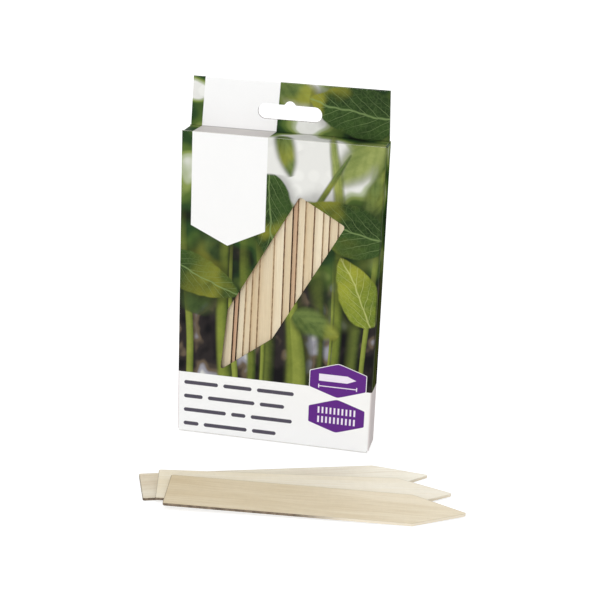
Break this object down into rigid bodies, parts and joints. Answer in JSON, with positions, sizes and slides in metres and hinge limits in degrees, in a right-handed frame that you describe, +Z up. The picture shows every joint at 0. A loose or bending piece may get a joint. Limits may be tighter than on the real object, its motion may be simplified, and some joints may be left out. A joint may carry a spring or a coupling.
{
  "type": "plant label stake pack",
  "caption": "Hang-tab folding carton with a stake-shaped window, a shingled row of pointed wooden plant label stakes inside and loose stakes lying in front.",
  "frame": {"origin": "centre of the carton base, on the surface it stands on", "axes": "+Z up, +X to the right along the carton front, +Y from the front wall to the back wall"},
  "size_m": [0.1464, 0.0972, 0.1698],
  "materials": {
    "board_print": "printed paperboard, satin varnish",
    "board_white": "white paperboard, uncoated inner face",
    "birch": "sanded birch veneer, unfinished"
  },
  "bodies": {
    "carton": {"front_panel": "board_print", "back_panel": "board_print", "header_front_ply": "board_print", "left_side_panel": "board_print", "right_side_panel": "board_print", "glue_flap": "board_white", "bottom_outer_flap": "board_print", "bottom_inner_flap": "board_white", "left_bottom_flap": "board_white", "right_bottom_flap": "board_white", "stake_01": "birch", "stake_02": "birch", "stake_03": "birch", "stake_04": "birch", "stake_05": "birch", "stake_06": "birch", "stake_07": "birch", "stake_08": "birch", "stake_09": "birch", "stake_10": "birch", "stake_11": "birch", "stake_12": "birch", "stake_13": "birch", "stake_14": "birch", "stake_15": "birch", "stake_16": "birch", "stake_17": "birch", "stake_18": "birch", "stake_19": "birch", "stake_20": "birch"},
    "lid": {"lid_panel": "board_print"},
    "tuck": {"tuck_flap": "board_white"},
    "left_dust": {"left_dust_flap": "board_white"},
    "right_dust": {"right_dust_flap": "board_white"},
    "loose_rear": {"loose_stake_rear": "birch"},
    "loose_middle": {"loose_stake_middle": "birch"},
    "loose_front": {"loose_stake_front": "birch"}
  },
  "joints": [
    {"name": "lid_hinge", "type": "hinge", "parent": "carton", "child": "lid", "pos_m": [0, 0.0061, 0.147], "axis": [-1, 0, 0], "range_deg": [0, 85]},
    {"name": "tuck_crease", "type": "hinge", "parent": "lid", "child": "tuck", "pos_m": [0, -0.006, 0.1465], "axis": [1, 0, 0], "range_deg": [0, 34.5]},
    {"name": "left_dust_crease", "type": "hinge", "parent": "carton", "child": "left_dust", "pos_m": [-0.04625, 0, 0.14595], "axis": [0, 1, 0], "range_deg": [0, 25], "stiffness_Nm_per_rad": 0.0001, "springref_deg": -20.05},
    {"name": "right_dust_crease", "type": "hinge", "parent": "carton", "child": "right_dust", "pos_m": [0.04625, 0, 0.14595], "axis": [0, -1, 0], "range_deg": [0, 25], "stiffness_Nm_per_rad": 0.0001, "springref_deg": -20.05},
    {"name": "rear_stake_lift", "type": "slide", "parent": "carton", "child": "loose_rear", "axis": [0, 0, 1], "range_m": [0, 0.06]},
    {"name": "middle_stake_lift", "type": "slide", "parent": "loose_rear", "child": "loose_middle", "axis": [0, 0, 1], "range_m": [0, 0.06]},
    {"name": "front_stake_lift", "type": "slide", "parent": "loose_middle", "child": "loose_front", "axis": [0, 0, 1], "range_m": [0, 0.06]}
  ],
  "couplings": [
    {"joint": "tuck_crease", "follows": "lid_hinge", "ratio": 0.4}
  ]
}
